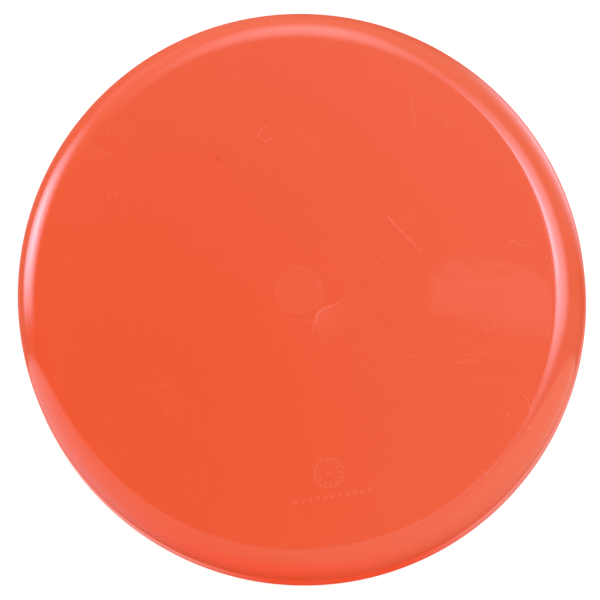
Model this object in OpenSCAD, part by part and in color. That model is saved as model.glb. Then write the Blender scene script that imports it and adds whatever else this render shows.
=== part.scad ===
/* [Disc] */
// Widest diameter, measured across the rim
disc_d = 235; // [200:0.5:275]
// Height from the rim's resting plane to the top of the flight plate
disc_h = 28.5; // [25:0.5:34]
// Wall thickness, the same in the flight plate, the shoulder and the rim wall
wall_t = 1.7; // [1.4:0.1:2.2]

/* [Rim] */
// Outer radius of the shoulder that turns the flight plate down into the rim
shoulder_r = 12.7; // [9:0.1:15]
// Lean of the rim wall away from the disc's axis, in degrees
rim_lean = 3; // [1:0.5:5]
// Width of the thick bead along the rim's lower edge
bead_w = 5.6; // [5:0.1:7]
// Height of the bead, whose inner and outer sides are half round
bead_h = 4.4; // [3.6:0.1:5]
// Radius of the fillet that blends the bead into the inside of the rim wall
fillet_r = 1.2; // [0.6:0.1:1.4]

/* [Gate pad] */
// Diameter of the round pad at the centre of the underside
pad_d = 19; // [12:0.5:26]
// How far the pad stands below the flight plate
pad_t = 0.5; // [0.2:0.1:1]
// Diameter of the trimmed gate stub where it meets the pad
stub_d = 3.2; // [2:0.1:5]
// How far the gate stub stands below the pad
stub_h = 0.8; // [0.3:0.1:1.5]

/* [Mould date marks] */
// How far the marks stand below the flight plate
mark_h = 0.4; // [0.2:0.1:0.8]
// Direction of the marks about the disc's axis, in degrees from +X
mark_angle = -81; // [-180:1:180]
// Width of every raised line of the dial
line_w = 0.8; // [0.5:0.1:1.2]
// Distance from the disc's axis to the dial's centre
dial_at = 75.5; // [40:0.5:78]
// Outer diameter of the dial
dial_d = 12.5; // [9:0.5:14]
// Number of ticks around the dial
dial_ticks = 12; // [4:1:16]
// Distance from the disc's axis to the row of pips
pips_at = 85; // [60:0.5:88]
// Number of pips in the row
pip_count = 11; // [3:1:13]
// Diameter of one pip
pip_d = 1.8; // [1:0.1:2]
// Distance between the centres of neighbouring pips
pip_pitch = 3; // [2.5:0.1:3.5]

/* [Hidden] */
$fn = 180;
disc_colour = [0.95, 0.38, 0.25];

// The rim's half section is drawn in the (radius, height) plane. The wall's outer line touches two
// circles: the shoulder's, about shoulder_c, and the bead's outer side, about bead_out_c.
across = [cos(rim_lean), sin(rim_lean)];
under_z = disc_h - wall_t;
bead_r = bead_h / 2;
bead_out_c = [disc_d / 2 - bead_r, bead_r];
bead_in_c = [disc_d / 2 - bead_w + bead_r, bead_r];
shoulder_z = disc_h - shoulder_r;
plate_r = bead_out_c[0] - (shoulder_r - bead_r + (shoulder_z - bead_r) * across[1]) / across[0];
shoulder_c = [plate_r, shoulder_z];

// The fillet's circle rests on top of the bead and touches the inner face of the rim wall
fillet_z = bead_h + fillet_r;
fillet_x = shoulder_c[0] + (shoulder_r - wall_t - fillet_r
           + (shoulder_z - fillet_z) * across[1]) / across[0];
fillet_c = [fillet_x, fillet_z];
bead_top_in = fillet_c + fillet_r * across;
bead_top_out = bead_top_in + wall_t * across;

// A point seen from the disc's axis in the direction of the date marks
module at_marks(distance) {
    rotate(mark_angle) translate([distance, 0, under_z - mark_h]) children();
}

// The flat circular web that carries the air flow
module flight_plate() {
    color(disc_colour) translate([0, 0, under_z]) cylinder(r = plate_r, h = wall_t);
}

// The quarter-round edge between the flight plate and the rim wall
module shoulder() {
    reach = 2 * shoulder_r;
    color(disc_colour) rotate_extrude() intersection() {
        difference() {
            translate(shoulder_c) circle(r = shoulder_r);
            translate(shoulder_c) circle(r = shoulder_r - wall_t);
        }
        polygon([shoulder_c, shoulder_c + reach * across,
                 shoulder_c + [reach, reach], shoulder_c + [0, reach]]);
    }
}

// The straight, slightly leaning wall below the shoulder
module rim_wall() {
    color(disc_colour) rotate_extrude() polygon([
        shoulder_c + (shoulder_r - wall_t) * across, shoulder_c + shoulder_r * across,
        bead_top_out, bead_top_in]);
}

// The thick lower edge that is gripped and that the disc rests on
module rim_bead() {
    color(disc_colour) rotate_extrude() difference() {
        union() {
            translate(bead_out_c) circle(r = bead_r);
            translate(bead_in_c) circle(r = bead_r);
            polygon([[bead_in_c[0], 0], [bead_out_c[0], 0], bead_out_c + bead_r * across,
                     bead_top_out, bead_top_in, fillet_c, [fillet_c[0], bead_h],
                     [bead_in_c[0], bead_h]]);
        }
        translate(fillet_c) circle(r = fillet_r);
    }
}

// The round pad that the plastic entered through, at the centre of the underside
module gate_pad() {
    color(disc_colour) translate([0, 0, under_z - pad_t]) cylinder(d = pad_d, h = pad_t);
}

// What is left of the gate after trimming, a short cone
module gate_stub() {
    color(disc_colour) translate([0, 0, under_z - pad_t - stub_h])
        cylinder(d1 = stub_d * 0.7, d2 = stub_d, h = stub_h);
}

// A plain dial: a ring, ticks inside it that point at the centre, and a centre dot
module date_dial() {
    ring_in_r = dial_d / 2 - line_w;
    tick_l = dial_d / 8;
    color(disc_colour) at_marks(dial_at) {
        difference() {
            cylinder(r = ring_in_r + line_w, h = mark_h);
            translate([0, 0, -mark_h]) cylinder(r = ring_in_r, h = 3 * mark_h);
        }
        for (i = [0 : dial_ticks - 1]) rotate(i * 360 / dial_ticks)
            translate([ring_in_r - line_w / 2 - tick_l, -line_w / 2, 0])
                cube([tick_l, line_w, mark_h]);
        cylinder(r = line_w, h = mark_h);
    }
}

// A straight row of round pips beyond the dial
module date_pips() {
    color(disc_colour) at_marks(pips_at)
        for (i = [0 : pip_count - 1]) translate([0, (i - (pip_count - 1) / 2) * pip_pitch, 0])
            cylinder(d = pip_d, h = mark_h);
}

flight_plate();
shoulder();
rim_wall();
rim_bead();
gate_pad();
gate_stub();
date_dial();
date_pips();
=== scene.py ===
"""A glossy one-piece flying disc, lying rim down on a pale studio floor."""
import math

import bmesh
import bpy
import numpy as np
from mathutils import Matrix, Vector


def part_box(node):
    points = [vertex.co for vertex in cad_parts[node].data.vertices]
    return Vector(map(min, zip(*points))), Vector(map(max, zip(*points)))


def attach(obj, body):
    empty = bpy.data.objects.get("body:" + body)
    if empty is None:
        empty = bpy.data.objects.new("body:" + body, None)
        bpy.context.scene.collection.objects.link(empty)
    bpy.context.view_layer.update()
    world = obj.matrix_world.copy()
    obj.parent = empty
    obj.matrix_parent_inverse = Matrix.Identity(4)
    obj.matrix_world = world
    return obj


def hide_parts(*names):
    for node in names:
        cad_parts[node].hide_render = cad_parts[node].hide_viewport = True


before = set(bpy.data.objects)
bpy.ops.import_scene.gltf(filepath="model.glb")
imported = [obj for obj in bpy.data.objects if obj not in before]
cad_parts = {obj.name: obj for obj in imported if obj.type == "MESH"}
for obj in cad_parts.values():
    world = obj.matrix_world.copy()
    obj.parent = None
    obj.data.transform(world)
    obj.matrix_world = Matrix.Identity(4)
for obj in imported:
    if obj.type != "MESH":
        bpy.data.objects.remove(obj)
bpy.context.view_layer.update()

MM = 0.001

# ---------------------------------------------------------------- driving sizes, from the frame

PLATE_LOW, PLATE_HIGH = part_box("flight_plate")
SHOULDER_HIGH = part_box("shoulder")[1]
WALL_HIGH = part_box("rim_wall")[1]
BEAD_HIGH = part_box("rim_bead")[1]
PAD_LOW, PAD_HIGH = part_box("gate_pad")
STUB_LOW, STUB_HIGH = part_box("gate_stub")
DIAL_LOW, DIAL_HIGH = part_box("date_dial")
PIPS_LOW, PIPS_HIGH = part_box("date_pips")

DISC_R = BEAD_HIGH.x
TOP_Z = PLATE_HIGH.z
UNDER_Z = PLATE_LOW.z
WALL_T = TOP_Z - UNDER_Z
PLATE_R = PLATE_HIGH.x
LEAN = math.atan2(WALL_HIGH.x - SHOULDER_HIGH.x, WALL_HIGH.z - BEAD_HIGH.z)
SHOULDER_R = (SHOULDER_HIGH.x - PLATE_R) / math.cos(LEAN)
PAD_R = PAD_HIGH.x
STUB_R = STUB_HIGH.x

# The bead's section, as in the CAD: its height, width and the fillet above it
BEAD_H = 4.4 * MM
BEAD_W = 5.6 * MM
FILLET_R = 1.2 * MM

# The moulded marks under the plate
DIAL_AT = (DIAL_LOW + DIAL_HIGH) / 2
PIPS_AT = (PIPS_LOW + PIPS_HIGH) / 2
MARK_ANGLE = math.atan2(DIAL_AT.y, DIAL_AT.x)
DIAL_R = (DIAL_HIGH.x - DIAL_LOW.x) / 2
MARK_H = DIAL_HIGH.z - DIAL_LOW.z
LINE_W = 0.8 * MM
TICKS = 12
TICK_L = DIAL_R / 4
TICK_AT = DIAL_R - 1.5 * LINE_W - TICK_L / 2    # from the dial's centre to a tick's middle
PIPS = 11
PIP_R = 0.9 * MM
PIP_PITCH = 3 * MM


# ---------------------------------------------------------------- the moulding's mesh

SEGMENTS = 360          # round the disc's axis
WAVE_H = 0.006 * MM     # how far the moulded plate wanders from flat
WAVELENGTHS = (95, 70, 52, 40, 30, 23)      # of that wandering, in mm
WAVE_FADE = 16 * MM     # the waves die out over this distance before the shoulder
WITNESS_H = 0.003 * MM  # step that the pad below leaves in the top of the plate
WITNESS_W = 1.2 * MM    # to either side of the pad's edge, where the mesh is finer
GATE_EDGE = 0.25 * MM   # rounding at the pad and the stub
STUB_TAPER = 0.7        # radius of the stub's tip against its root
PART_LINE_H = 0.06 * MM
PART_LINE_W = 0.3 * MM
OVAL = 0.8 * MM         # the limp disc is this much out of round, along OVAL_AT
OVAL_AT = math.radians(-65)


def arc(centre, radius, start, end, count):
    """Points of an arc in the (radius, height) plane, angles in degrees from +radius."""
    angles = np.radians(np.linspace(start, end, count + 1))
    return [(centre[0] + radius * math.cos(a), centre[1] + radius * math.sin(a)) for a in angles]


def run(start, end, count):
    """Points of a straight run, without its first point."""
    shares = np.linspace(0, 1, count + 1)[1:]
    return [(start[0] + (end[0] - start[0]) * t, start[1] + (end[1] - start[1]) * t) for t in shares]


def half_section():
    """The moulding's half section, from the top centre round the rim to the tip of the gate."""
    lean = math.degrees(LEAN)
    across = (math.cos(LEAN), math.sin(LEAN))
    edge_r = BEAD_H / 2
    shoulder_c = (PLATE_R, TOP_Z - SHOULDER_R)
    out_c = (DISC_R - edge_r, edge_r)
    in_c = (DISC_R - BEAD_W + edge_r, edge_r)
    fillet_z = BEAD_H + FILLET_R
    fillet_x = shoulder_c[0] + (SHOULDER_R - WALL_T - FILLET_R
                                + (shoulder_c[1] - fillet_z) * across[1]) / across[0]
    fillet_c = (fillet_x, fillet_z)

    def from_centre(centre, away):
        return (centre[0] + away * across[0], centre[1] + away * across[1])

    points = run((0, TOP_Z), (PAD_R - WITNESS_W, TOP_Z), 6)
    points += run(points[-1], (PAD_R + WITNESS_W, TOP_Z), 16)
    points += run(points[-1], (PLATE_R, TOP_Z), 50)
    points += arc(shoulder_c, SHOULDER_R, 90, lean, 48)[1:]
    points += run(points[-1], from_centre(out_c, edge_r), 4)
    points += arc(out_c, edge_r, lean, -90, 40)[1:]
    points += run(points[-1], (in_c[0], 0), 2)
    points += arc(in_c, edge_r, -90, -270, 20)[1:]
    points += run(points[-1], (fillet_c[0], BEAD_H), 1)
    points += arc(fillet_c, FILLET_R, -90, lean, 8)[1:]
    points += run(points[-1], from_centre(shoulder_c, SHOULDER_R - WALL_T), 3)
    points += arc(shoulder_c, SHOULDER_R - WALL_T, lean, 90, 20)[1:]
    points += underside()
    return part_line(points)


def underside():
    """The plate's underside, the gate pad with its rounded edges and the trimmed stub."""
    edge = GATE_EDGE
    pad_z, stub_z = PAD_LOW.z, STUB_LOW.z
    tip_r = STUB_TAPER * STUB_R
    points = run((PLATE_R, UNDER_Z), (PAD_R + edge, UNDER_Z), 8)
    points += arc((PAD_R + edge, UNDER_Z - edge), edge, 90, 180, 5)[1:]
    points += arc((PAD_R - edge, pad_z + edge), edge, 0, -90, 5)
    points += run(points[-1], (STUB_R + edge, pad_z), 3)
    points += arc((STUB_R + edge, pad_z - edge), edge, 90, 180, 5)[1:]
    points += run(points[-1], (tip_r, stub_z + edge / 2), 1)
    points += run(points[-1], (tip_r - edge / 2, stub_z), 1)
    points += run(points[-1], (0, stub_z), 3)[:-1]
    return points


def part_line(points):
    """Raises the thin line that the two halves of the mould leave round the widest place."""
    raised = []
    for r, z in points:
        near = math.exp(-((z - BEAD_H / 2) / (PART_LINE_W / 2)) ** 2) if r > DISC_R - MM else 0
        raised.append((r + PART_LINE_H * near, z))
    return raised


def smooth_step(x, low, high):
    t = np.clip((x - low) / (high - low), 0, 1)
    return t * t * (3 - 2 * t)


def relief(x, y):
    """How far the top of the plate stands above flat: slow moulding waves and the pad's witness."""
    r = np.hypot(x, y)
    waves = np.zeros_like(r)
    rng = np.random.default_rng(7)
    for wavelength in WAVELENGTHS:
        heading, phase = rng.uniform(0, 2 * math.pi, 2)
        along = (x * math.cos(heading) + y * math.sin(heading)) / (wavelength * MM)
        waves += math.sqrt(wavelength / WAVELENGTHS[0]) * np.sin(2 * math.pi * along + phase)
    fade = 1 - smooth_step(r, PLATE_R - WAVE_FADE, PLATE_R)
    pad = 1 - smooth_step(r, PAD_R - 0.5 * MM, PAD_R + 0.5 * MM)
    rim = np.exp(-((r - PAD_R) / (0.35 * MM)) ** 2)
    return fade * waves * WAVE_H / 2 + WITNESS_H * (pad * 0.6 + rim)


def revolve(points, segments, close_start, close_end):
    """Vertices and faces of a half section turned about Z, with a pole at each asked-for height."""
    angles = np.linspace(0, 2 * math.pi, segments, endpoint=False)
    section = np.array(points)
    count = len(section)
    x = np.outer(section[:, 0], np.cos(angles))
    y = np.outer(section[:, 0], np.sin(angles))
    z = np.repeat(section[:, 1:], segments, axis=1)
    vertices = np.stack([x, y, z], axis=-1).reshape(-1, 3)
    ring = np.arange(segments)
    after = np.roll(ring, -1)
    faces = []
    for i in range(count - 1):
        a, b = i * segments, (i + 1) * segments
        faces += np.stack([a + ring, b + ring, b + after, a + after], axis=1).tolist()
    start, end = len(vertices), len(vertices) + 1
    vertices = np.vstack([vertices, [[0, 0, close_start], [0, 0, close_end]]])
    last = (count - 1) * segments
    faces += [[start, int(j), int(k)] for j, k in zip(ring, after)]
    faces += [[end, last + int(k), last + int(j)] for j, k in zip(ring, after)]
    return vertices, faces


def mesh_object(name, vertices, faces, sharp=None):
    """A smooth-shaded object, with edges sharper than the given angle (degrees) kept crisp."""
    mesh = bpy.data.meshes.new(name)
    mesh.from_pydata([tuple(v) for v in vertices], [], faces)
    mesh.validate()
    mesh.shade_smooth()
    if sharp is not None:
        mesh.set_sharp_from_angle(angle=math.radians(sharp))
    piece = bpy.data.objects.new(name, mesh)
    bpy.context.scene.collection.objects.link(piece)
    return piece


def disc_moulding():
    """The whole moulding as one closed mesh, slightly out of round."""
    vertices, faces = revolve(half_section(), SEGMENTS, TOP_Z, STUB_LOW.z)
    top = vertices[:, 2] > TOP_Z - 1e-7
    vertices[top, 2] += relief(vertices[top, 0], vertices[top, 1])
    turn = np.arctan2(vertices[:, 1], vertices[:, 0])
    vertices[:, :2] *= (1 + OVAL / DISC_R * np.cos(2 * (turn - OVAL_AT)))[:, None]
    return mesh_object("disc_moulding", vertices, faces, sharp=50)


# ---------------------------------------------------------------- the moulded marks' meshes

MARK_ROOT = 0.1 * MM    # how far a mark reaches up into the plate
MARK_EDGE = 0.15 * MM   # rounding of a mark's edges


def add_solid(bm, build, at, turn):
    """Adds the closed solid that build(bm) makes, turned about Z and moved to its place."""
    made = build(bm)
    place = Matrix.Translation(at) @ Matrix.Rotation(turn, 4, "Z")
    bmesh.ops.transform(bm, matrix=place, verts=made)


def rounded_bar(bm, length, width, height):
    made = bmesh.ops.create_cube(bm, size=1)["verts"]
    bmesh.ops.scale(bm, vec=(length, width, height), verts=made)
    edges = list({e for v in made for e in v.link_edges})
    bevelled = bmesh.ops.bevel(bm, geom=edges, offset=MARK_EDGE, segments=3, profile=0.5,
                               affect="EDGES")
    return list({v for v in made if v.is_valid} | set(bevelled["verts"]))


def rounded_ring(bm, inner, outer, height, segments):
    """A flat ring with rounded edges, or a round pip when inner is 0."""
    half = height / 2
    e = MARK_EDGE
    loop = arc((outer - e, half - e), e, 90, 0, 3) + arc((outer - e, e - half), e, 0, -90, 3)
    if inner > 0:
        loop += arc((inner + e, e - half), e, -90, -180, 3) + arc((inner + e, half - e), e, 180, 90, 3)
    rings = []
    for r, z in loop:
        rings.append([bm.verts.new((r * math.cos(a), r * math.sin(a), z))
                      for a in np.linspace(0, 2 * math.pi, segments, endpoint=False)])
    pairs = list(zip(rings, rings[1:]))
    if inner > 0:
        pairs.append((rings[-1], rings[0]))
    for a, b in pairs:
        for j in range(segments):
            k = (j + 1) % segments
            bm.faces.new((a[j], b[j], b[k], a[k]))
    if inner == 0:
        bm.faces.new(rings[0])
        bm.faces.new(list(reversed(rings[-1])))
    return [v for ring in rings for v in ring]


def marks_object(name, bm):
    bmesh.ops.recalc_face_normals(bm, faces=bm.faces)
    mesh = bpy.data.meshes.new(name)
    bm.to_mesh(mesh)
    bm.free()
    mesh.shade_smooth()
    mesh.set_sharp_from_angle(angle=math.radians(50))
    piece = bpy.data.objects.new(name, mesh)
    bpy.context.scene.collection.objects.link(piece)
    return piece


def mark_place(centre, across=0.0, along=0.0):
    """A place under the plate, along the direction of the marks and across it."""
    height = MARK_H + MARK_ROOT
    out = Vector((math.cos(MARK_ANGLE), math.sin(MARK_ANGLE), 0))
    side = Vector((-out.y, out.x, 0))
    flat = Vector((centre.x, centre.y, 0))
    return flat + out * along + side * across + Vector((0, 0, UNDER_Z - MARK_H + height / 2))


def date_dial():
    height = MARK_H + MARK_ROOT
    bm = bmesh.new()
    centre = mark_place(DIAL_AT)
    add_solid(bm, lambda b: rounded_ring(b, DIAL_R - LINE_W, DIAL_R, height, 96), centre, 0)
    add_solid(bm, lambda b: rounded_ring(b, 0, LINE_W, height, 32), centre, 0)
    for i in range(TICKS):
        turn = MARK_ANGLE + i * 2 * math.pi / TICKS
        out = TICK_AT * Vector((math.cos(turn), math.sin(turn), 0))
        add_solid(bm, lambda b: rounded_bar(b, TICK_L, LINE_W, height), centre + out, turn)
    return marks_object("date_dial_marks", bm)


def date_pips():
    height = MARK_H + MARK_ROOT
    bm = bmesh.new()
    for i in range(PIPS):
        place = mark_place(PIPS_AT, across=(i - (PIPS - 1) / 2) * PIP_PITCH)
        add_solid(bm, lambda b: rounded_ring(b, 0, PIP_R, height, 32), place, 0)
    return marks_object("date_pip_marks", bm)


# ---------------------------------------------------------------- shader nodes

class Graph:
    """A short way to write shader maths. Sockets and plain numbers mix freely."""

    def __init__(self, tree):
        self.tree = tree
        tree.nodes.clear()

    def node(self, kind, **settings):
        made = self.tree.nodes.new(kind)
        for key, value in settings.items():
            setattr(made, key, value)
        return made

    def put(self, socket, value):
        if isinstance(value, bpy.types.NodeSocket):
            self.tree.links.new(value, socket)
        elif value is not None:
            socket.default_value = value

    def math(self, operation, a, b=None):
        made = self.node("ShaderNodeMath", operation=operation)
        for socket, value in zip(made.inputs, (a, b)):
            self.put(socket, value)
        return made.outputs[0]

    def vector_math(self, operation, a, b=None, scale=None):
        made = self.node("ShaderNodeVectorMath", operation=operation)
        self.put(made.inputs[0], a)
        self.put(made.inputs[1], b)
        if scale is not None:
            self.put(made.inputs["Scale"], scale)
        return made.outputs["Value" if operation in ("DOT_PRODUCT", "DISTANCE", "LENGTH") else "Vector"]

    def add(self, *terms):
        total = terms[0]
        for term in terms[1:]:
            total = self.math("ADD", total, term)
        return total

    def sub(self, a, b):
        return self.math("SUBTRACT", a, b)

    def mul(self, *terms):
        total = terms[0]
        for term in terms[1:]:
            total = self.math("MULTIPLY", total, term)
        return total

    def div(self, a, b):
        return self.math("DIVIDE", a, b)

    def absolute(self, a):
        return self.math("ABSOLUTE", a)

    def length(self, a, b):
        return self.math("SQRT", self.add(self.mul(a, a), self.mul(b, b)))

    def smooth(self, value, low, high, start=0.0, end=1.0):
        """Turns smoothly from start to end as value goes from low to high."""
        made = self.node("ShaderNodeMapRange", interpolation_type="SMOOTHSTEP")
        for socket, given in zip(made.inputs, (value, low, high, start, end)):
            self.put(socket, given)
        return made.outputs[0]

    def mix(self, share, a, b):
        made = self.node("ShaderNodeMix", data_type="RGBA")
        self.put(made.inputs["Factor"], share)
        for key, value in (("A", a), ("B", b)):
            socket = [s for s in made.inputs if s.name == key and s.type == "RGBA"][0]
            if isinstance(value, tuple):
                value = (*value, 1.0)
            self.put(socket, value)
        return [s for s in made.outputs if s.type == "RGBA"][0]

    def noise(self, vector, scale, detail=2.0, roughness=0.5, distortion=0.0):
        made = self.node("ShaderNodeTexNoise")
        self.put(made.inputs["Vector"], vector)
        made.inputs["Scale"].default_value = scale
        made.inputs["Detail"].default_value = detail
        made.inputs["Roughness"].default_value = roughness
        made.inputs["Distortion"].default_value = distortion
        return made.outputs["Fac"]

    def vector(self, x, y, z=0.0):
        made = self.node("ShaderNodeCombineXYZ")
        for socket, value in zip(made.inputs, (x, y, z)):
            self.put(socket, value)
        return made.outputs[0]

    def split(self, vector):
        made = self.node("ShaderNodeSeparateXYZ")
        self.put(made.inputs[0], vector)
        return made.outputs

    def channels(self, colour):
        made = self.node("ShaderNodeSeparateColor")
        self.put(made.inputs[0], colour)
        return made.outputs


# ---------------------------------------------------------------- the disc's plastic

PLASTIC = (0.508, 0.0622, 0.0202)
PALE = (0.80, 0.29, 0.22)       # where the surface is scuffed, and the painted show-through of thicker plastic below
DARK = (0.34, 0.023, 0.008)     # burnt flecks in the plastic, and the painted shadow below the pad

# Marks of use on the plate: the line each follows (mm from the disc's axis), half width (mm) and
# how pale it is
SCRATCHES = (
    (((36, 30), (42, 23), (49, 16)), 0.30, 0.18),
    (((41, 25), (47, 19)), 0.24, 0.08),
    (((-2, 67), (4, 63), (9, 57)), 0.28, 0.13),
    (((57, 71), (60, 69), (63, 68)), 0.25, 0.13),
    (((44, 57), (49, 56), (51, 58)), 0.22, 0.09),
    (((22, -22), (34, -26), (54, -28), (76, -26)), 0.30, 0.08),
    (((53, -18), (66, -21), (76, -26)), 0.30, 0.07),
    (((57, -31), (72, -29)), 0.50, 0.07),
    (((61, -37), (76, -37), (88, -39)), 0.30, 0.05),
    (((75, -17), (78, -16), (80, -14)), 0.28, 0.16),
    (((46, 80), (47, 68), (46, 62)), 0.35, 0.07),
    (((-66, -38), (-58, -39), (-52, -38)), 0.40, 0.09),
    (((-28, 93), (-27, 85)), 0.28, 0.09),
    (((-33, 90), (-33, 84)), 0.24, 0.07),
    (((-46, 78), (-46, 63)), 0.30, 0.06),
    (((90, -43), (92, -45), (93, -49), (95, -44)), 0.28, 0.18),
    (((72, -73), (77, -76)), 0.30, 0.12),
    (((90, -55), (93, -57)), 0.30, 0.12),
    (((-85, 57), (-81, 58), (-78, 56), (-76, 58)), 0.24, 0.15),
    (((-98, 13), (-97, 11), (-94, 12), (-93, 17)), 0.22, 0.14),
    (((-92, 20), (-92, 17)), 0.22, 0.10),
    (((-43, -53), (-42, -57)), 0.24, 0.10),
    (((-40, -74), (-37, -83)), 0.24, 0.08),
    (((8, -54), (9, -56)), 0.26, 0.10),
    (((-78, 40), (-77, 38)), 0.26, 0.26),
    (((-75, 41), (-75, 39)), 0.24, 0.18),
    (((-79, 66), (-78, 65)), 0.40, 0.18),
    (((85, 19), (87, 19.6), (90, 18)), 0.26, 0.16),
    (((90, 18), (97, 17)), 0.24, 0.05),
)
# Where the plastic stopped flowing beside the gate, and the faint line below the pad
FLOW_MARK = ((5.2, -17), (6.6, -12.3), (7.6, -9.2), (9.5, -7.7), (12.4, -6.6),
             (16, -5.4), (19, -3.2), (22, -0.6))
FLOW_TAIL = ((-2, -11.8), (2, -12.6), (6, -12.6))
FLOW_START = (8.0, -9.0)

# Single marks: the place of each (mm from the disc's axis)
HAIR_AT = (-14.0, 64.5)
HAIR_R = 2.7
SMUDGE_AT = (-52.0, -46.0)
LOOP_AT = (-57.1, -48.5)
LOOP_R = 1.7
FLECK_AT = (-33.3, 54.3)
PAD_BLOTCH_AT = (7.4, 2.6)
# the middle of the painted shadow below the pad
PAD_SHADOW_AT = (2.0, -10.9)

# How pale the marks are, from 0 (the plastic) to 1 (PALE), and how dark the dark ones
HAIR_PALE = 0.13
FLOW_PALE = 0.12
FAN_PALE = 0.045
TAIL_PALE = 0.05
PAD_RING_PALE = 0.038
# PAD_PALE and GHOST_PALE set the painted show-through of the pad and of the marks below
PAD_PALE = 0.018
PAD_BLOTCH_PALE = 0.04
GHOST_PALE = 0.06
SMUDGE_PALE = 0.06
SCUFF_PALE = 0.035
RIM_SCUFF_PALE = 0.05
FLECK_DARK = 0.22
# how dark the painted shadow below the pad is
PAD_SHADOW_DARK = 0.05
LOOP_DARK = 0.12

# Fields of specks: spacing and size (mm), the share of places that hold one, and how strong
SPECKS = ((6.0, 0.34, 0.10, 0.14), (17.0, 0.45, 0.2, 0.18))
FLECKS = (37.0, 0.5, 0.35, 0.3)
# Fields of scuffs: heading (degrees), length and gap (mm), and the noise level they start at
SCUFFS = ((20, 22.0, 0.42, 0.66), (-48, 16.0, 0.4, 0.66), (96, 26.0, 0.45, 0.67))
# Smears on the shoulder: the band of radius (mm) and of turn (radians) that each lies in, as
# its middle, half width and soft edge
SMEARS = (
    ((106.6, 0.5, 1.2), (0.235, 0.05, 0.03)),
    ((105.2, 0.3, 0.8), (0.025, 0.015, 0.02)),
)

ROUGHNESS = 0.018           # of clean plastic; the rest says how much rougher a mark makes it
CLOUD_ROUGH = 0.01
PALE_ROUGH = 1.2
SMUDGE_ROUGH = 0.02
SMEAR_ROUGH = 0.25
BUMP_H = 0.02 * MM
SPECK_BUMP = 3.0
GRAIN_BUMP = 0.014


def distance(g, x, y, at, squash=1.0):
    """How far a place is from at, in mm. A squash below 1 stretches the rings about it along Y."""
    return g.length(g.sub(x, at[0]), g.mul(g.sub(y, at[1]), squash))


def line_mask(g, place, points, width):
    """1 on a line through the points (mm), falling to 0 at width (mm) from it."""
    nearest = None
    for start, end in zip(points, points[1:]):
        a, ab = Vector((*start, 0)), Vector((*end, 0)) - Vector((*start, 0))
        off = g.vector_math("SUBTRACT", place, tuple(a))
        share = g.vector_math("DOT_PRODUCT", off, tuple(ab / ab.length_squared))
        share = g.math("MINIMUM", g.math("MAXIMUM", share, 0.0), 1.0)
        along = g.vector_math("SCALE", tuple(ab), scale=share)
        away = g.vector_math("DISTANCE", off, along)
        nearest = away if nearest is None else g.math("MINIMUM", nearest, away)
    return g.smooth(nearest, 0.0, width, 1.0, 0.0)


def band(g, value, middle, half_width, soft):
    """1 while value is within half_width of middle, falling to 0 over soft. A radius gives a ring."""
    return g.smooth(g.absolute(g.sub(value, middle)), half_width, half_width + soft, 1.0, 0.0)


def mark_ghost(g, x, y):
    """Painted show-through: the moulded marks under the plate, drawn as faint paler marks on the top."""
    cos, sin = math.cos(MARK_ANGLE), math.sin(MARK_ANGLE)

    def local(at):
        dx, dy = g.sub(x, at.x / MM), g.sub(y, at.y / MM)
        return (g.add(g.mul(dx, cos), g.mul(dy, sin)), g.sub(g.mul(dy, cos), g.mul(dx, sin)))

    line, dial_r, soft = LINE_W / MM, DIAL_R / MM, 0.25
    u, v = local(DIAL_AT)
    radius = g.length(u, v)
    ring = band(g, radius, dial_r - line / 2, line / 2 - soft, soft * 2)
    hub = g.smooth(radius, line - soft, line + soft, 1.0, 0.0)
    spacing = 2 * math.pi / TICKS
    angle = g.math("ARCTAN2", v, u)
    off = g.sub(angle, g.mul(g.math("ROUND", g.div(angle, spacing)), spacing))
    beside = g.absolute(g.mul(radius, g.math("SINE", off)))
    tick = g.mul(g.smooth(beside, line / 2 - soft, line / 2 + soft, 1.0, 0.0),
                 band(g, radius, TICK_AT / MM, TICK_L / MM / 2 - soft, soft * 2))
    pu, pv = local(PIPS_AT)
    pitch, pip = PIP_PITCH / MM, PIP_R / MM
    across = g.sub(pv, g.mul(g.math("ROUND", g.div(pv, pitch)), pitch))
    row = g.math("LESS_THAN", g.absolute(pv), pitch * PIPS / 2)
    dots = g.mul(row, g.smooth(g.length(pu, across), pip - soft, pip + soft, 1.0, 0.0))
    return g.add(ring, hub, tick, dots)


def dust(g, place, spacing, size, share, strength):
    """Sparse round specks: one cell in a few holds one, each of its own size."""
    cells = g.node("ShaderNodeTexVoronoi", voronoi_dimensions="2D")
    g.put(cells.inputs["Vector"], place)
    cells.inputs["Scale"].default_value = 1 / spacing
    pick = g.channels(cells.outputs["Color"])
    chosen = g.math("GREATER_THAN", pick[0], 1 - share)
    reach = g.mul(size / spacing, g.add(0.4, pick[1]))
    speck = g.smooth(cells.outputs["Distance"], 0.0, reach, 1.0, 0.0)
    return g.mul(chosen, speck, g.add(0.3, pick[2]), strength)


def fine_lines(g, x, y, heading, length, gap, threshold):
    """A field of fine parallel scuffs, from noise stretched along their heading (degrees)."""
    cos, sin = math.cos(math.radians(heading)), math.sin(math.radians(heading))
    along = g.add(g.mul(x, cos), g.mul(y, sin))
    across = g.sub(g.mul(y, cos), g.mul(x, sin))
    streaks = g.noise(g.vector(g.div(along, length), g.div(across, gap)), 1.0, detail=1.0)
    patches = g.noise(g.vector(g.div(x, 30.0), g.div(y, 30.0), heading), 1.0, detail=1.0)
    return g.mul(g.smooth(streaks, threshold, threshold + 0.08), g.smooth(patches, 0.5, 0.7))


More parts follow.
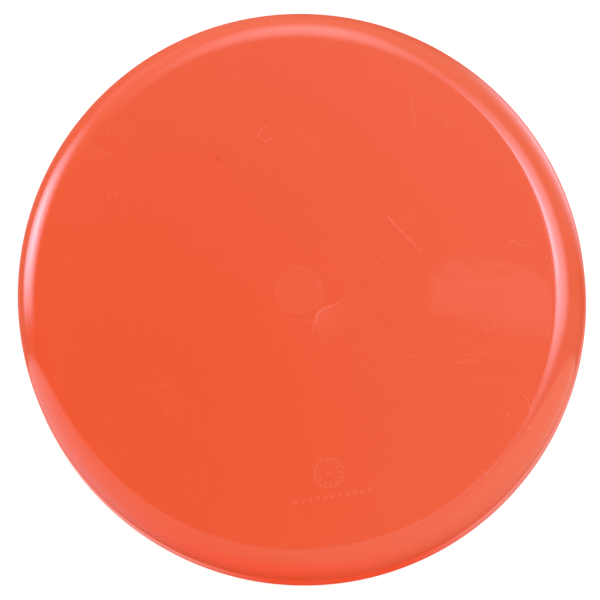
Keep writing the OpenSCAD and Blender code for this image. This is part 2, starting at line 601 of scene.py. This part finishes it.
def scratches(g, wandering, broken):
    """The long scratches and hairs, each broken up along its length."""
    marks = 0.0
    for points, width, strength in SCRATCHES:
        marks = g.add(marks, g.mul(line_mask(g, wandering, points, width), strength))
    marks = g.mul(marks, g.add(0.35, g.mul(broken, 0.65)))
    wx, wy, _ = g.split(wandering)
    past_x, past_y = g.sub(wx, HAIR_AT[0]), g.sub(wy, HAIR_AT[1])
    gap = g.smooth(g.add(past_x, g.mul(past_y, 0.4)), 1.6, 2.2, 1.0, 0.0)
    hair = g.mul(band(g, g.length(past_x, past_y), HAIR_R, 0.05, 0.3), gap, HAIR_PALE)
    return g.add(marks, hair)


def gate_marks(g, flat, wandering, broken):
    """What the gate pad below and the flow of the plastic leave in the top of the plate, and the painted
    show-through of the pad.
    """
    x, y, _ = g.split(flat)
    wx, wy, _ = g.split(wandering)
    radius, pad_r = g.length(x, y), PAD_R / MM
    beyond = distance(g, x, y, FLOW_START)
    flow = g.mul(line_mask(g, wandering, FLOW_MARK, 0.9), FLOW_PALE)
    flow = g.mul(flow, g.smooth(beyond, 2.0, 17.0, 1.0, 0.12), g.add(0.5, g.mul(broken, 0.5)))
    fan = g.mul(g.smooth(wx, 5.5, 7.5), g.smooth(g.sub(wy, g.mul(wx, 0.3)), -11.5, -9.5, 1.0, 0.0))
    fan = g.mul(fan, g.smooth(beyond, 0.0, 16.0, FAN_PALE, 0.0))
    tail = g.mul(line_mask(g, flat, FLOW_TAIL, 0.5), TAIL_PALE)
    ring = g.mul(band(g, radius, pad_r, 0.1, 0.5), PAD_RING_PALE)
    # painted show-through: the top is paler over the thicker pad below
    fill = g.smooth(radius, pad_r - 0.4, pad_r + 0.4, PAD_PALE, 0.0)
    blotch = g.smooth(distance(g, x, y, PAD_BLOTCH_AT), 0.2, 2.4, PAD_BLOTCH_PALE, 0.0)
    return g.add(flow, fan, tail, ring, fill, blotch)


def scuffs(g, x, y):
    """Fields of fine scuffs on the plate, and more of them round the start of the shoulder."""
    radius, turn = g.length(x, y), g.math("ARCTAN2", y, x)
    fields = g.add(*[fine_lines(g, x, y, *settings) for settings in SCUFFS])
    rim_lines = g.noise(g.vector(g.mul(turn, 7.0), g.mul(radius, 2.2)), 1.0, detail=2.0)
    rim_patch = g.smooth(g.noise(g.vector(g.mul(turn, 2.5), 3.0), 1.0), 0.45, 0.65)
    round_rim = g.mul(g.smooth(rim_lines, 0.6, 0.7), rim_patch,
                      band(g, radius, PLATE_R / MM + 2.0, 2.0, 4.0))
    return g.add(g.mul(fields, SCUFF_PALE), g.mul(round_rim, RIM_SCUFF_PALE))


def darker(g, flat, wandering):
    """The burnt flecks, a loop in the smudge and a painted shadow below the pad."""
    x, y, _ = g.split(flat)
    wx, wy, _ = g.split(wandering)
    fleck = g.add(g.smooth(distance(g, x, y, FLECK_AT), 0.5, 2.4, FLECK_DARK, 0.0),
                  dust(g, flat, *FLECKS))
    # painted shadow: the top of the plate darkened in a crescent just outside the pad's edge
    pad_shadow = g.mul(g.smooth(distance(g, x, y, PAD_SHADOW_AT), 1.2, 4.0, PAD_SHADOW_DARK, 0.0),
                     g.smooth(g.length(x, y), PAD_R / MM + 0.3, PAD_R / MM + 0.8))
    loop = g.mul(band(g, distance(g, wx, wy, LOOP_AT, 0.6), LOOP_R, 0.1, 0.4), LOOP_DARK)
    return g.add(fleck, pad_shadow, loop)


def smear(g, flat):
    """Greasy strands that dull the shine of the shoulder."""
    x, y, _ = g.split(flat)
    radius, turn = g.length(x, y), g.math("ARCTAN2", y, x)
    near = g.add(*[g.mul(band(g, radius, *out), band(g, turn, *about)) for out, about in SMEARS])
    strands = g.absolute(g.sub(g.noise(flat, 0.8, detail=1.0, distortion=1.0), 0.5))
    return g.mul(near, g.smooth(strands, 0.01, 0.07, 1.0, 0.0))


def plastic():
    material = bpy.data.materials.new("glossy_orange_plastic")
    material.use_nodes = True
    g = Graph(material.node_tree)
    place = g.vector_math("SCALE", g.node("ShaderNodeTexCoord").outputs["Object"], scale=1 / MM)
    x, y, _ = g.split(place)
    flat = g.vector(x, y)
    radius = g.length(x, y)
    on_top = g.math("GREATER_THAN", g.split(g.node("ShaderNodeNewGeometry").outputs["Normal"])[2], 0.05)

    # A little wander, so that no scratch is a ruled line
    wx = g.add(x, g.mul(g.sub(g.noise(flat, 0.35), 0.5), 1.6))
    wy = g.add(y, g.mul(g.sub(g.noise(g.vector(y, x), 0.35), 0.5), 1.6))
    wandering = g.vector(wx, wy)
    broken = g.smooth(g.noise(flat, 1.1, detail=3.0), 0.34, 0.56)

    smudge_at = g.smooth(distance(g, x, y, SMUDGE_AT, 1.3), 3.0, 8.5, 1.0, 0.0)
    smudge = g.mul(smudge_at, g.smooth(g.noise(flat, 1.4, detail=3.0), 0.48, 0.62), SMUDGE_PALE)
    specks = g.add(*[dust(g, flat, *settings) for settings in SPECKS])
    # pale: scratches, flow marks, specks, smudges and scuffs, with the painted show-through of the pad
    # and the marks below
    pale = g.add(scratches(g, wandering, broken), gate_marks(g, flat, wandering, broken),
                 g.mul(mark_ghost(g, x, y), GHOST_PALE), specks, smudge, scuffs(g, x, y))
    pale = g.mul(pale, on_top)

    # The plastic's tone: slow clouds, fine grain, streaks that run out from the gate, and slightly paler
    # towards the plate's edge
    cloud = g.noise(flat, 0.035, detail=3.0)
    grain = g.noise(place, 1.6, detail=2.0, roughness=0.7)
    streak = g.noise(g.vector(g.mul(g.math("ARCTAN2", y, x), 14.0), g.mul(radius, 0.03)), 1.0, detail=3.0)
    tone = g.add(g.mul(g.sub(cloud, 0.5), 0.012), g.mul(g.sub(grain, 0.5), 0.022),
                 g.mul(g.sub(streak, 0.5), 0.012), g.smooth(radius, 70.0, PLATE_R / MM, 0.0, 0.004))
    colour = g.mix(g.math("MAXIMUM", g.add(tone, pale), 0.0), PLASTIC, PALE)
    # darker() holds burnt flecks and a smudge loop, and the painted shadow below the pad
    colour = g.mix(g.mul(on_top, darker(g, flat, wandering)), colour, DARK)

    bump = g.node("ShaderNodeBump")
    bump.inputs["Distance"].default_value = BUMP_H
    bump.inputs["Strength"].default_value = 0.6
    g.put(bump.inputs["Height"], g.add(g.mul(specks, SPECK_BUMP), g.mul(grain, GRAIN_BUMP)))

    rough = g.add(ROUGHNESS, g.mul(g.sub(cloud, 0.5), CLOUD_ROUGH), g.mul(pale, PALE_ROUGH),
                  g.mul(smudge_at, SMUDGE_ROUGH), g.mul(smear(g, flat), on_top, SMEAR_ROUGH))
    shader = g.node("ShaderNodeBsdfPrincipled")
    g.put(shader.inputs["Base Color"], colour)
    g.put(shader.inputs["Roughness"], rough)
    g.put(shader.inputs["IOR"], 1.5)
    g.put(shader.inputs["Normal"], bump.outputs[0])
    out = g.node("ShaderNodeOutputMaterial")
    g.put(out.inputs["Surface"], shader.outputs[0])
    return material


# ---------------------------------------------------------------- the studio

# The light comes from a chart of directions: a direction's distance from the middle of the chart
# is its angle from straight up, in degrees. Right on the chart is +X and up is +Y.
# Lamps: power, centre, and reach to the left, right, down and up
LAMPS = (
    (9.2, (-73, 24), (33, 38, 26, 38)),         # the brightest, on the left
    (2.2, (-93, 12), (15, 13, 16, 26)),
    (2.4, (-70, 29), (13, 13, 16, 16)),
    (5.5, (4.5, 11), (3, 14, 4.5, 5)),          # the long lamp on the right, sharp at its near end
    (5.2, (9.5, 10.7), (8, 18, 8.5, 14)),
    (5.2, (23, 9.5), (19, 38, 14, 31)),
    (0.8, (10, -5), (24, 50, 8, 9)),
    (3.0, (1.5, 49), (29, 18, 44, 32)),         # at the back
    (2.6, (103, 83), (62, 120, 56, 80)),        # low down, at the back on the right
    (0.6, (-45, 58), (32, 42, 36, 28)),         # faint, at the back on the left
)
WARM_LAMP = (0.9, (60, 3), (62, 110, 37, 28))
RED_LAMP = (2.4, (-14, -84), (75, 75, 55, 52))  # what the disc throws back off the near side

# How blue each kind of light is, against its green
ROOM_BLUE = 0.85
LAMP_BLUE = 1.27
WINDOW_BLUE = 1.15

# The window's edges on the chart
WINDOW_TOP = (0.95, 8.98)
WINDOW_LEFT = -0.2
WINDOW_SILL = 8.03
FOLDS_FROM = 8.69
SEAM_AT = 8.72

CARD_FROM = -9.0            # the card fills the chart below this
TABLE_MIDDLE = (1.0, 0.09, 0.04)
TABLE_SIDES = (1.0, 0.38, 0.34)
BACKDROP = (0.97, 0.97, 0.97)


def chart(g):
    """Where the direction being looked in lies on the chart, and its angle from straight up."""
    dx, dy, dz = g.split(g.node("ShaderNodeTexCoord").outputs["Generated"])
    flat = g.math("MAXIMUM", g.length(dx, dy), 1e-5)
    zenith = g.mul(g.math("ARCCOSINE", dz), 180 / math.pi)
    return g.mul(zenith, g.div(dx, flat)), g.mul(zenith, g.div(dy, flat)), zenith


def lamp(g, px, py, power, centre, reach):
    """A soft oval light: brightest in the middle, falling to nothing at its four reaches."""
    left, right, down, up = reach
    u, v = g.sub(px, centre[0]), g.sub(py, centre[1])
    u = g.add(g.div(g.math("MAXIMUM", u, 0.0), right), g.div(g.math("MINIMUM", u, 0.0), left))
    v = g.add(g.div(g.math("MAXIMUM", v, 0.0), up), g.div(g.math("MINIMUM", v, 0.0), down))
    inside = g.math("MAXIMUM", g.sub(1.0, g.add(g.mul(u, u), g.mul(v, v))), 0.0)
    return g.mul(power, g.mul(inside, inside))


def window(g, px, py):
    """The pale patch that the plate itself reflects, with an arched top and folds below it."""
    u = g.sub(px, WINDOW_TOP[0])
    past = g.math("MAXIMUM", u, 0.0)
    arch = g.sub(WINDOW_TOP[1], g.add(g.mul(0.2, u, u), g.mul(0.5, past, past)))
    top = g.smooth(g.sub(py, arch), -0.02, 0.02, 1.0, 0.0)
    bottom = g.smooth(g.sub(py, g.sub(WINDOW_SILL, g.mul(0.18, px))), -0.2, 0.2)
    side = g.smooth(px, WINDOW_LEFT - 0.08, WINDOW_LEFT + 0.08)
    drape = g.noise(g.vector(g.mul(px, 1.1), g.mul(py, 6.0)), 1.0, detail=2.0, distortion=0.4)
    folds = g.smooth(g.absolute(g.sub(drape, 0.5)), 0.03, 0.10, 1.0, 0.0)
    folds = g.mul(folds, g.smooth(py, FOLDS_FROM - 0.03, FOLDS_FROM + 0.03),
                  g.smooth(px, 1.1, 1.5, 1.0, 0.0))
    seam = g.absolute(g.sub(py, g.add(SEAM_AT, g.mul(0.05, px))))
    seam = g.mul(g.smooth(seam, 0.006, 0.02, 1.0, 0.0), g.smooth(px, 0.8, 1.1, 1.0, 0.0))
    shape = g.mul(top, bottom, side, g.smooth(px, 2.0, 6.0, 1.0, 0.0))
    creased = g.sub(1.0, g.mul(0.75, g.math("MAXIMUM", folds, seam)))
    return g.mul(g.smooth(py, 8.3, 8.8, 0.48, 0.60), shape, creased)


def room(g, px, py, zenith):
    """The room the lights stand in: darker on the left, with a glow overhead and at the horizon."""
    walls = g.mul(g.smooth(px, -85.0, 20.0, 0.0, 1.2), g.smooth(py, 8.0, 35.0, 0.05, 1.0))
    walls = g.mul(walls, g.smooth(zenith, 80.0, 125.0, 1.0, 0.32), g.smooth(px, 60.0, 110.0, 1.0, 0.7))
    horizon = g.mul(g.smooth(zenith, 64.0, 82.0, 0.0, 0.32), g.smooth(px, -40.0, 10.0, 1.0, 0.0))
    overhead = g.add(g.smooth(px, -5.0, 1.8, 0.04, 0.54),
                     g.mul(g.smooth(px, -5.5, 0.5, 0.18, 0.0), g.smooth(py, 5.5, 12.5)))
    overhead = g.mul(g.smooth(zenith, 14.0, 26.0, 1.0, 0.0), overhead)
    return g.add(walls, horizon, overhead)


def card(g, px, py):
    """The pale card on the near side, brighter towards both ends and darker low down."""
    right = g.mul(g.smooth(px, -15.0, 45.0, 0.0, 1.05), g.smooth(px, 60.0, 125.0, 1.0, 0.55))
    left = g.mul(g.smooth(px, -88.0, -12.0, 0.95, 0.0), g.smooth(px, -120.0, -90.0, 0.6, 1.0))
    return g.mul(g.add(0.88, right, left), g.smooth(py, -135.0, -25.0, 0.10, 1.0))


def studio_light():
    """Soft lights and a pale card, all far away. The camera sees a plain backdrop instead."""
    world = bpy.data.worlds.new("studio")
    world.use_nodes = True
    bpy.context.scene.world = world
    g = Graph(world.node_tree)
    px, py, zenith = chart(g)
    lamps = g.add(*[lamp(g, px, py, *settings) for settings in LAMPS])
    dim = g.add(room(g, px, py, zenith), lamp(g, px, py, *WARM_LAMP))
    pane = window(g, px, py)
    upper = g.smooth(py, CARD_FROM - 3.0, CARD_FROM + 3.0)
    below = g.mul(g.sub(1.0, upper), card(g, px, py))

    green = g.add(g.mul(upper, g.add(dim, lamps, pane)), below)
    red = g.add(green, lamp(g, px, py, *RED_LAMP))
    blue = g.add(g.mul(dim, ROOM_BLUE), g.mul(lamps, LAMP_BLUE), g.mul(pane, WINDOW_BLUE))
    blue = g.add(g.mul(upper, blue), g.mul(below, g.smooth(px, -100.0, 0.0, 1.15, 0.86)))
    lit = g.node("ShaderNodeCombineColor")
    for socket, value in zip(lit.inputs, (red, green, blue)):
        g.put(socket, value)
    # Far down, the rim mirrors the table beside it, which takes on the disc's colour
    table = g.mix(g.smooth(g.absolute(px), 60.0, 175.0), TABLE_MIDDLE, TABLE_SIDES)
    lit = g.mix(g.smooth(zenith, 122.0, 156.0), lit.outputs[0], table)

    seen = g.node("ShaderNodeLightPath").outputs["Is Camera Ray"]
    background = g.node("ShaderNodeBackground")
    g.put(background.inputs["Color"], g.mix(seen, lit, BACKDROP))
    g.put(g.node("ShaderNodeOutputWorld").inputs["Surface"], background.outputs[0])


FLOOR_HALF = 12.0
FLOOR_COLOUR = (0.30, 0.30, 0.27)
FLOOR_GLOW = 0.78           # lifts the floor to the white of a cut-out background


def floor():
    """A pale floor. It stays out of the disc's mirror reflections, which would whiten the rim."""
    corners = [(x * FLOOR_HALF, y * FLOOR_HALF, 0) for x, y in ((-1, -1), (1, -1), (1, 1), (-1, 1))]
    made = mesh_object("floor", corners, [[0, 1, 2, 3]])
    material = bpy.data.materials.new("pale_floor")
    material.use_nodes = True
    g = Graph(material.node_tree)
    matt = g.node("ShaderNodeBsdfDiffuse")
    g.put(matt.inputs["Color"], (*FLOOR_COLOUR, 1))
    glow = g.node("ShaderNodeEmission")
    g.put(glow.inputs["Strength"], FLOOR_GLOW)
    both = g.node("ShaderNodeAddShader")
    g.put(both.inputs[0], matt.outputs[0])
    g.put(both.inputs[1], glow.outputs[0])
    g.put(g.node("ShaderNodeOutputMaterial").inputs["Surface"], both.outputs[0])
    made.data.materials.append(material)
    made.visible_glossy = False


TILT = 8.6          # camera's angle from straight above, in degrees
TURN = 15.0         # camera's angle from -Y towards +X, in degrees
DISTANCE = 1.5
FRAME_WIDTH = 245.9 * MM    # what the picture spans at the disc
AIM = Vector((-0.0004, -0.0019, 0.014))


def camera():
    tilt, turn = math.radians(TILT), math.radians(TURN)
    back = Vector((math.sin(turn) * math.sin(tilt), -math.cos(turn) * math.sin(tilt), math.cos(tilt)))
    right = (-back).cross(Vector((0, 1, 0))).normalized()
    up = back.cross(right)
    data = bpy.data.cameras.new("camera")
    data.sensor_width = 36
    data.lens = data.sensor_width * DISTANCE / FRAME_WIDTH
    data.clip_end = 20
    made = bpy.data.objects.new("camera", data)
    turned = Matrix((right, up, back)).transposed().to_4x4()
    made.matrix_world = Matrix.Translation(AIM + back * DISTANCE) @ turned
    bpy.context.scene.collection.objects.link(made)
    bpy.context.scene.camera = made


# ---------------------------------------------------------------- the scene

bpy.context.scene.view_settings.view_transform = "Standard"

finish = plastic()
moulding = disc_moulding()
dial = date_dial()
pips = date_pips()
for piece, nodes in (
    (moulding, ("flight_plate", "shoulder", "rim_wall", "rim_bead", "gate_pad", "gate_stub")),
    (dial, ("date_dial",)),
    (pips, ("date_pips",)),
):
    piece.data.materials.append(finish)
    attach(piece, "root")
    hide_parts(*nodes)

floor()
studio_light()
camera()
